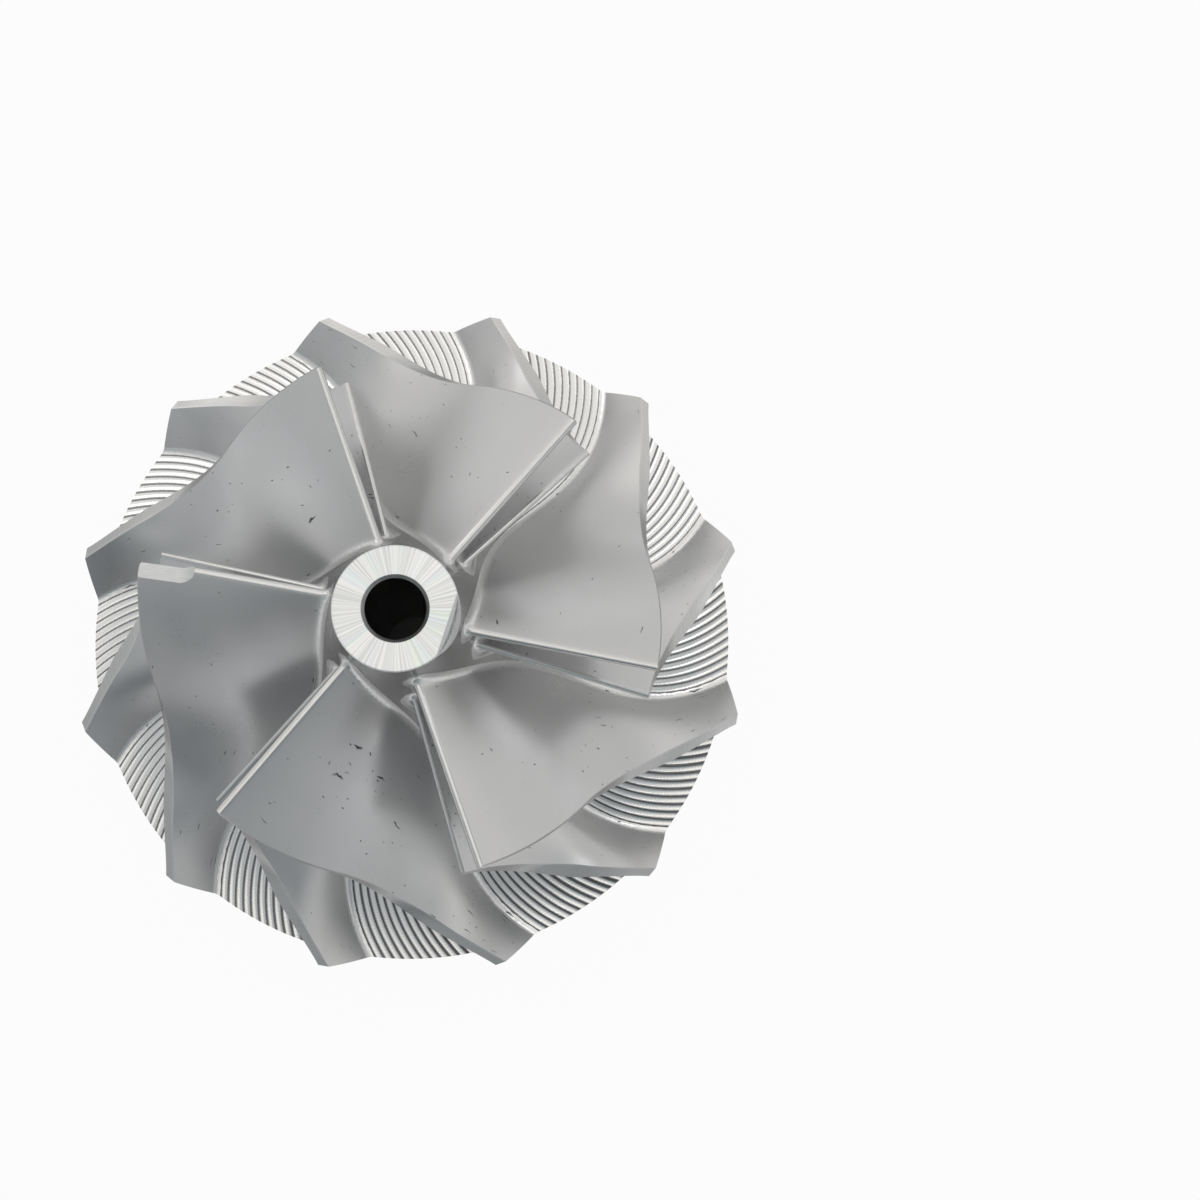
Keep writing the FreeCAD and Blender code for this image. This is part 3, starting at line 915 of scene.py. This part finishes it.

# %% [markdown]
# ## Finishes
#
# All surfaces are bare aluminium, and what sets them apart is how a tool went over them. The
# swept flanks are satin, with a few nicks from handling. The ball-nosed cutter left feed marks
# along its grooves. The lathe left rings on the nose, the back and the blade tops. The two
# balancing cuts are ground. All heights are in millimetres.
#
# A few tones are painted light and shade. Painted shade darkens the lines between the grooves,
# most on one side of the floor, the metal near the hub and the mouth of the bore. Painted
# highlights make the fillets paler and lay a fan of streaks with faint colours on the nose.
# They stay with the wheel when a lamp moves.


# %% Short ways to write node trees
def add_node(tree, kind, inputs, **settings):
    """A new node, with its settings by name and its inputs from values or other sockets."""
    made = tree.nodes.new(kind)
    for name, value in settings.items():
        setattr(made, name, value)
    for name, value in inputs.items():
        if isinstance(value, bpy.types.NodeSocket):
            tree.links.new(value, made.inputs[name])
        else:
            made.inputs[name].default_value = value
    return made


def calc(tree, operation, *values):
    made = add_node(tree, "ShaderNodeMath", dict(enumerate(values)), operation=operation)
    return made.outputs[0]


def vector_calc(tree, operation, *values):
    made = add_node(tree, "ShaderNodeVectorMath", dict(enumerate(values)), operation=operation)
    return made.outputs["Value" if operation in ("LENGTH", "DOT_PRODUCT") else "Vector"]


def ramp(tree, value, low, high, start=0.0, end=1.0):
    """A smooth step: start below low and end above high."""
    inputs = {"Value": value, "From Min": low, "From Max": high, "To Min": start, "To Max": end}
    made = add_node(tree, "ShaderNodeMapRange", inputs, interpolation_type="SMOOTHSTEP")
    return made.outputs["Result"]


def parts_of(tree, vector):
    return add_node(tree, "ShaderNodeSeparateXYZ", {"Vector": vector}).outputs


def stretched(tree, vector, scale):
    """The same coordinates, scaled along each axis."""
    return vector_calc(tree, "MULTIPLY", vector, scale)


def noise(tree, vector, scale, detail=2.0):
    """Soft noise with its middle at 0.5."""
    inputs = {"Vector": vector, "Scale": scale, "Detail": detail}
    return add_node(tree, "ShaderNodeTexNoise", inputs).outputs["Fac"]


def blend(tree, share, first, second):
    """A colour between two others."""
    made = add_node(tree, "ShaderNodeMix", {"Factor": share}, data_type="RGBA")
    for name, value in (("A_Color", first), ("B_Color", second)):
        socket = next(entry for entry in made.inputs if entry.identifier == name)
        if isinstance(value, bpy.types.NodeSocket):
            tree.links.new(value, socket)
        else:
            socket.default_value = value
    return next(entry for entry in made.outputs if entry.identifier == "Result_Color")


def scaled(tree, colour, share):
    """A colour made darker by a share."""
    whole = add_node(tree, "ShaderNodeCombineXYZ", {"X": share, "Y": share, "Z": share})
    return vector_calc(tree, "MULTIPLY", colour, whole.outputs["Vector"])


print("helpers for sums, noise and colours")


# %% The bare metal
def grey(tone, blue=None):
    """A grey, with its blue a little apart where one is given."""
    return (tone, tone, tone if blue is None else blue, 1.0)


ALUMINIUM = grey(0.70, 0.705)


def metal(finish, roughness):
    """Sets up bare aluminium and returns its tree and its shader."""
    finish.use_nodes = True
    tree = finish.node_tree
    shader = tree.nodes["Principled BSDF"]
    shader.inputs["Base Color"].default_value = ALUMINIUM
    shader.inputs["Metallic"].default_value = 1.0
    shader.inputs["Roughness"].default_value = roughness
    return tree, shader


def paint(tree, shader, colour):
    tree.links.new(colour, shader.inputs["Base Color"])


def raise_by(tree, shader, *layers):
    """Bumps a surface by patterns, each given with its height in millimetres."""
    total = None
    for pattern, height in layers:
        layer = calc(tree, "MULTIPLY", pattern, height)
        total = layer if total is None else calc(tree, "ADD", total, layer)
    bump = add_node(tree, "ShaderNodeBump", {"Height": total, "Distance": MM, "Strength": 1.0})
    tree.links.new(bump.outputs["Normal"], shader.inputs["Normal"])


print("bare aluminium:", ALUMINIUM[:3])


# %% Where a place is on the wheel
def own_map(tree, name):
    return add_node(tree, "ShaderNodeUVMap", {}, uv_map=name).outputs["UV"]


def object_millimetres(tree):
    place = add_node(tree, "ShaderNodeTexCoord", {}).outputs["Object"]
    return stretched(tree, place, (1 / MM, 1 / MM, 1 / MM))


def from_axis(tree):
    """Millimetres from the axis."""
    return vector_calc(tree, "LENGTH", stretched(tree, object_millimetres(tree), (1.0, 1.0, 0.0)))


def lathe_rings(tree, scale, detail):
    """Noise along a turned outline, the same all the way round the axis."""
    height = parts_of(tree, object_millimetres(tree))["Z"]
    station = calc(tree, "SUBTRACT", from_axis(tree), height)
    inputs = {"W": station, "Scale": scale, "Detail": detail}
    return add_node(tree, "ShaderNodeTexNoise", inputs, noise_dimensions="1D").outputs["Fac"]


print("places come from the axis or from a piece's own map")

# %% Swept flanks, with their nicks
FLANK_ROUGHNESS = (0.27, 0.34)
FILLET_SMOOTHER = 0.07
# Painted highlight: the fillets are painted paler than the flanks. Their lower roughness is real.
FILLET_SHEEN = grey(0.88)
# Painted shade: the flanks are painted darker toward the hub, down to 0.84 of their tone at 9 mm.
FLANK_HUB_SHADE = (9.0, 24.0, 0.84, 1.0)
SWEEP_HEIGHT = 0.0022
GRAIN_HEIGHT = 0.0016
MOTTLE_HEIGHT = 0.035
NICK_DEPTH = 0.09
NICK_DARK = grey(0.12, 0.125)
NICK_DARKENS = 1.6


def nicks(tree, crooked, region, cells, size, fewest, most):
    """Short nicks: a few cells of a scatter hold one, and more of them in some regions."""
    inputs = {"Vector": stretched(tree, crooked, cells), "Scale": 1.0}
    scatter = add_node(tree, "ShaderNodeTexVoronoi", inputs, voronoi_dimensions="2D")
    chance = parts_of(tree, scatter.outputs["Color"])
    needed = ramp(tree, region, 0.4, 0.65, 1.0 - fewest, 1.0 - most)
    held = calc(tree, "GREATER_THAN", chance["X"], needed)
    reach = calc(tree, "MULTIPLY", ramp(tree, chance["Y"], 0.0, 1.0, 0.35, 1.0), size)
    inside = calc(tree, "SUBTRACT", 1.0, calc(tree, "DIVIDE", scatter.outputs["Distance"], reach))
    return calc(tree, "MULTIPLY", held, calc(tree, "MAXIMUM", inside, 0.0))


tree, shader = metal(flank_finish, FLANK_ROUGHNESS[1])
skin = own_map(tree, "skin")
crook = add_node(tree, "ShaderNodeTexNoise", {"Vector": skin, "Scale": 0.9, "Detail": 1.0})
shift = stretched(tree, crook.outputs["Color"], (1.2, 1.2, 0.0))
crooked = vector_calc(tree, "ADD", skin, shift)
region = noise(tree, object_millimetres(tree), 0.06)
dots = nicks(tree, crooked, region, cells=(0.55, 0.75, 1.0), size=0.11, fewest=0.03, most=0.20)
scratches = nicks(tree, crooked, region, cells=(0.15, 0.80, 1.0), size=0.16, fewest=0.0, most=0.15)
nick = calc(tree, "MAXIMUM", dots, scratches)
on_fillet = ramp(tree, parts_of(tree, skin)["Y"], -0.5, 0.6, 1.0, 0.0)
sweep_lines = noise(tree, stretched(tree, skin, (0.25, 7.0, 1.0)), 1.0, 3.0)
grain = noise(tree, skin, 5.0)
mottle = calc(tree, "MULTIPLY", noise(tree, skin, 1.6), on_fillet)
raise_by(
    tree,
    shader,
    (sweep_lines, SWEEP_HEIGHT),
    (grain, GRAIN_HEIGHT),
    (mottle, MOTTLE_HEIGHT),
    (nick, -NICK_DEPTH),
)
cloud = noise(tree, object_millimetres(tree), 0.12, 3.0)
rough = ramp(tree, cloud, 0.3, 0.7, *FLANK_ROUGHNESS)
rough = calc(tree, "SUBTRACT", rough, calc(tree, "MULTIPLY", on_fillet, FILLET_SMOOTHER))
tree.links.new(rough, shader.inputs["Roughness"])
nick_tone = calc(tree, "MINIMUM", calc(tree, "MULTIPLY", nick, NICK_DARKENS), 1.0)
# Painted highlight: the fillets are painted paler.
bare = blend(tree, nick_tone, blend(tree, on_fillet, ALUMINIUM, FILLET_SHEEN), NICK_DARK)
# Painted shade toward the hub.
paint(tree, shader, scaled(tree, bare, ramp(tree, from_axis(tree), *FLANK_HUB_SHADE)))
print("swept flanks:", len(tree.nodes), "nodes")

# %% Leading edges, rounded by a smaller cutter and brighter
EDGE_ROUGHNESS = 0.16
EDGE_TONES = (grey(0.58), grey(0.86))
DRAG_HEIGHT = 0.004
tree, shader = metal(edge_finish, EDGE_ROUGHNESS)
drag = noise(tree, stretched(tree, own_map(tree, "skin"), (9.0, 0.8, 1.0)), 1.0, 3.0)
raise_by(tree, shader, (drag, DRAG_HEIGHT))
paint(tree, shader, blend(tree, drag, *EDGE_TONES))
print("leading edges:", len(tree.nodes), "nodes")

# %% Turned blade tops
TOP_ROUGHNESS = 0.3
TOP_TONES = (grey(0.61), grey(0.68))
TOP_RING_HEIGHT = 0.006
tree, shader = metal(top_finish, TOP_ROUGHNESS)
rings = lathe_rings(tree, 3.2, 3.0)
raise_by(tree, shader, (rings, TOP_RING_HEIGHT))
paint(tree, shader, blend(tree, ramp(tree, rings, 0.35, 0.65), *TOP_TONES))
print("turned blade tops:", len(tree.nodes), "nodes")

# %% The grooved floor
FLOOR_ROUGHNESS = 0.18
FEED = 0.42
FEED_HEIGHT = 0.001
GRIT_HEIGHT = 0.01
BURR_HEIGHT = 0.05
WAVER = 0.12
# Painted shade: the lines between the grooves are painted wider and darker on the side of the
# wheel that faces this way.
SHADED_SIDE = (0.35, -0.94, 0.0)
LINE_WIDTHS = (0.17, 0.32)
LINE_SHADE_TONES = (grey(0.22, 0.225), grey(0.06, 0.065))
GROOVE_TONES = (grey(0.88), grey(0.98))
LINED_FROM = (12.0, 20.0)
# Painted shade: the floor is painted darker toward the hub, down to 0.40 of its tone at 9 mm.
FLOOR_HUB_SHADE = (9.0, 27.0, 0.40, 1.0)
tree, shader = metal(floor_finish, FLOOR_ROUGHNESS)
passes = own_map(tree, "passes")
groove = parts_of(tree, passes)
which = calc(tree, "FLOOR", groove["X"])
phase = add_node(tree, "ShaderNodeTexWhiteNoise", {"W": which}, noise_dimensions="1D")
turns = calc(tree, "ADD", calc(tree, "DIVIDE", groove["Y"], FEED), phase.outputs["Value"])
feed_marks = calc(tree, "SINE", calc(tree, "MULTIPLY", turns, 2 * math.pi))
grit = noise(tree, stretched(tree, passes, (9.0, 5.0, 1.0)), 1.0, 3.0)
waver = calc(tree, "MULTIPLY", calc(tree, "SUBTRACT", grit, 0.5), WAVER)
from_cusp = calc(tree, "PINGPONG", calc(tree, "ADD", groove["X"], waver), 0.5)
outward = vector_calc(tree, "NORMALIZE", object_millimetres(tree))
darker = vector_calc(tree, "DOT_PRODUCT", outward, SHADED_SIDE)
line_width = ramp(tree, darker, 0.0, 0.95, *LINE_WIDTHS)
# The lines between the grooves are raised a little as burrs, and painted dark as painted shade.
burr_and_shade = ramp(tree, calc(tree, "DIVIDE", from_cusp, line_width), 0.0, 1.0, 1.0, 0.0)
burr_and_shade = calc(tree, "MULTIPLY", burr_and_shade, ramp(tree, from_axis(tree), *LINED_FROM))
raise_by(tree, shader, (feed_marks, FEED_HEIGHT), (grit, GRIT_HEIGHT), (burr_and_shade, BURR_HEIGHT))
bright = blend(tree, ramp(tree, grit, 0.35, 0.6), *GROOVE_TONES)
lined = blend(tree, burr_and_shade, bright, blend(tree, darker, *LINE_SHADE_TONES))
paint(tree, shader, scaled(tree, lined, ramp(tree, from_axis(tree), *FLOOR_HUB_SHADE)))
print("grooved floor:", len(tree.nodes), "nodes")

# %% Turned faces
TURNED_ROUGHNESS = 0.34
TURNED_STRETCH = 0.75
RING_HEIGHT = 0.008
LATHED_TONES = (grey(0.66, 0.67), grey(0.78))
# Painted highlight: a fan of bright streaks is painted by bearing on the nose face.
FAN_HIGHLIGHT_TONES = ((0.74, 0.75, 0.76, 1.0), grey(0.96))
FAN_HEIGHTS = (NOSE_TOP - 1.5, NOSE_TOP - 0.3)
TINT_SATURATION, TINT_VALUE = 0.16, 0.95
tree, shader = metal(turned_finish, TURNED_ROUGHNESS)
shader.inputs["Anisotropic"].default_value = TURNED_STRETCH
spin = add_node(tree, "ShaderNodeTangent", {}, direction_type="RADIAL", axis="Z")
tree.links.new(spin.outputs["Tangent"], shader.inputs["Tangent"])
rings = lathe_rings(tree, 7.0, 4.0)
raise_by(tree, shader, (rings, RING_HEIGHT))
place = parts_of(tree, object_millimetres(tree))
bearing = calc(tree, "ARCTAN2", place["Y"], place["X"])
circle = {"X": calc(tree, "COSINE", bearing), "Y": calc(tree, "SINE", bearing)}
fan = add_node(tree, "ShaderNodeCombineXYZ", circle).outputs["Vector"]
fanned = blend(tree, ramp(tree, noise(tree, fan, 22.0, 8.0), 0.38, 0.60), *FAN_HIGHLIGHT_TONES)
lathed = blend(tree, ramp(tree, rings, 0.3, 0.7), *LATHED_TONES)
on_nose = ramp(tree, place["Z"], *FAN_HEIGHTS)
pale = blend(tree, on_nose, lathed, fanned)
colours = {0: noise(tree, fan, 5.0, 1.0), 1: TINT_SATURATION, 2: TINT_VALUE}
hue = add_node(tree, "ShaderNodeCombineColor", colours, mode="HSV")
# The faint colours on the nose are painted too, as part of the painted highlight.
tint = ramp(tree, noise(tree, fan, 3.0, 3.0), 0.48, 0.68, 0.0, 0.5)
tinted_fan = blend(tree, calc(tree, "MULTIPLY", tint, on_nose), pale, hue.outputs["Color"])
# Painted shade: the bore and most of its chamfer are painted half as bright.
mouth_shade = ramp(tree, from_axis(tree), BORE_MOUTH - 0.1, BORE_MOUTH + 0.05, 0.5, 1.0)
paint(tree, shader, scaled(tree, tinted_fan, mouth_shade))
print("turned faces:", len(tree.nodes), "nodes")

# %% Ground flats
GROUND_ROUGHNESS = 0.5
GROUND_TONES = ((0.66, 0.67, 0.67, 1.0), (0.78, 0.79, 0.79, 1.0))
GROUND_HEIGHT = 0.012
tree, shader = metal(ground_finish, GROUND_ROUGHNESS)
lines = noise(tree, stretched(tree, object_millimetres(tree), (1.0, 14.0, 1.0)), 1.0, 3.0)
raise_by(tree, shader, (lines, GROUND_HEIGHT))
paint(tree, shader, blend(tree, ramp(tree, lines, 0.3, 0.7), *GROUND_TONES))
print("ground flats:", len(tree.nodes), "nodes")

# %% [markdown]
# ## Floor, light and camera
#
# The wheel lies on a white sheet, and the camera looks down on it from a little in front of its
# axis. The sheet is white to the camera and to reflections, and stays plain paper under the wheel,
# so the bore is dark and a faint shadow is left. Far out, it fades to plain paper.

# %% The sheet under the wheel
SHEET_RADIUS = 2.5
SHEET_SIDES = 96
SHEET_DROP = 0.1


def stage_floor():
    shell = bmesh.new()
    bmesh.ops.create_circle(shell, cap_ends=True, segments=SHEET_SIDES, radius=SHEET_RADIUS)
    bmesh.ops.translate(shell, verts=shell.verts, vec=(0, 0, -SHEET_DROP * MM))
    floor = add_object("stage_floor", mesh_of(shell, "stage_floor"))
    return floor


floor = stage_floor()
print("a sheet", 2 * SHEET_RADIUS, "m across")

# %% Its paper
PAPER = grey(0.5)
PAPER_ROUGHNESS = 0.9
SHEET_SEEN = (0.030, 0.045)
SHEET_REFLECTED = (0.080, 0.350)
SHEET_OUTER = (1.2, 2.5)
SHEET_WHITE = 0.96
floor_paper = bpy.data.materials.new("floor_paper")
floor_paper.use_nodes = True
tree = floor_paper.node_tree
paper = tree.nodes["Principled BSDF"]
paper.inputs["Base Color"].default_value = PAPER
paper.inputs["Roughness"].default_value = PAPER_ROUGHNESS
white = add_node(tree, "ShaderNodeEmission", {"Color": grey(1.0), "Strength": 1.0})
ray = add_node(tree, "ShaderNodeLightPath", {}).outputs
reach = vector_calc(tree, "LENGTH", add_node(tree, "ShaderNodeTexCoord", {}).outputs["Object"])
seen = calc(tree, "MULTIPLY", ray["Is Camera Ray"], ramp(tree, reach, *SHEET_SEEN))
mirrored = calc(tree, "MAXIMUM", ray["Is Glossy Ray"], ray["Is Transmission Ray"])
mirrored = calc(tree, "MULTIPLY", mirrored, ramp(tree, reach, *SHEET_REFLECTED))
share = calc(tree, "MAXIMUM", seen, mirrored)
share = calc(tree, "MULTIPLY", share, ramp(tree, reach, *SHEET_OUTER, 1.0, 0.0))
share = calc(tree, "MULTIPLY", share, SHEET_WHITE)
both = add_node(tree, "ShaderNodeMixShader", {0: share, 1: paper.outputs[0], 2: white.outputs[0]})
tree.links.new(both.outputs[0], tree.nodes["Material Output"].inputs["Surface"])
floor.data.materials.append(floor_paper)
print("floor paper:", len(tree.nodes), "nodes")

# %% The light of the room
LIT_SIDE = (0.25, 0.93, 0.2)
GLOW_SIDE = (-0.55, 0.6, 0.55)
DIM_SIDE = (0.30, -0.85, 0.45)
PANEL_CONTRAST = 0.55
COOL = (0.93, 1.0, 1.04, 1.0)
WARM = (1.015, 1.0, 0.965, 1.0)
world = bpy.data.worlds.new("studio")
bpy.context.scene.world = world
world.use_nodes = True
tree = world.node_tree
direction = add_node(tree, "ShaderNodeTexCoord", {}).outputs["Generated"]


def toward(aim):
    """How far a direction points the same way as another, from -1 to 1."""
    return vector_calc(tree, "DOT_PRODUCT", direction, Vector(aim).normalized())


studio = ramp(tree, toward(LIT_SIDE), -1.0, 1.0, 0.36, 0.71)
glow = ramp(tree, toward(GLOW_SIDE), 0.72, 0.98, 0.0, 0.10)
overhead = ramp(tree, parts_of(tree, direction)["Z"], 0.76, 0.97, 0.0, 0.35)
dimmed = ramp(tree, toward(DIM_SIDE), 0.70, 0.97, 0.0, 0.15)
panels = calc(tree, "SUBTRACT", noise(tree, direction, 2.1, 0.0), 0.5)
panels = calc(tree, "MULTIPLY", panels, PANEL_CONTRAST)
for sign, part in (("ADD", glow), ("ADD", overhead), ("SUBTRACT", dimmed), ("ADD", panels)):
    studio = calc(tree, sign, studio, part)
background = tree.nodes["Background"]
tinted = blend(tree, ramp(tree, studio, 0.2, 0.8), COOL, WARM)
tree.links.new(tinted, background.inputs["Color"])
tree.links.new(studio, background.inputs["Strength"])
print("light of the room:", len(tree.nodes), "nodes")

# %% Two soft lamps
LAMP_AIM = Vector((0.0, 0.0, 0.02))


def softbox(name, place, width, height, brightness):
    """A soft lamp that faces the wheel; brightness is the radiance of its face."""
    lamp = bpy.data.lights.new(name, "AREA")
    lamp.shape = "RECTANGLE"
    lamp.size = width
    lamp.size_y = height
    lamp.energy = brightness * math.pi * width * height
    holder = add_object(name, lamp)
    turned = (LAMP_AIM - Vector(place)).to_track_quat("-Z", "Y").to_matrix().to_4x4()
    holder.matrix_world = Matrix.Translation(place) @ turned
    print(name, round(lamp.energy, 3), "W")


softbox("key_softbox", (-0.45, 0.45, 0.55), width=0.28, height=0.28, brightness=0.8)
softbox("side_softbox", (0.55, 0.25, 0.65), width=0.16, height=0.3, brightness=1.2)

# %% The camera
CAMERA_PLACE = Vector((20.41, -35.59, 339.34)) * MM
CAMERA_TURN = Vector((-7.08, 1.14, 0.1))
SENSOR_WIDTH = 36.0
LENS = 69.27
camera_data = bpy.data.cameras.new("camera")
camera_data.sensor_width = SENSOR_WIDTH
camera_data.lens = LENS
camera_data.clip_start = 0.01
camera = add_object("camera", camera_data)
tilt = Matrix.Rotation(-math.radians(CAMERA_TURN.length), 4, CAMERA_TURN.normalized())
camera.matrix_world = Matrix.Translation(CAMERA_PLACE) @ tilt
bpy.context.scene.camera = camera
bpy.context.scene.view_settings.view_transform = "Standard"
print("camera", round(CAMERA_PLACE.length / MM), "mm from the wheel, lens", LENS, "mm")

# %% The end
bpy.context.view_layer.update()
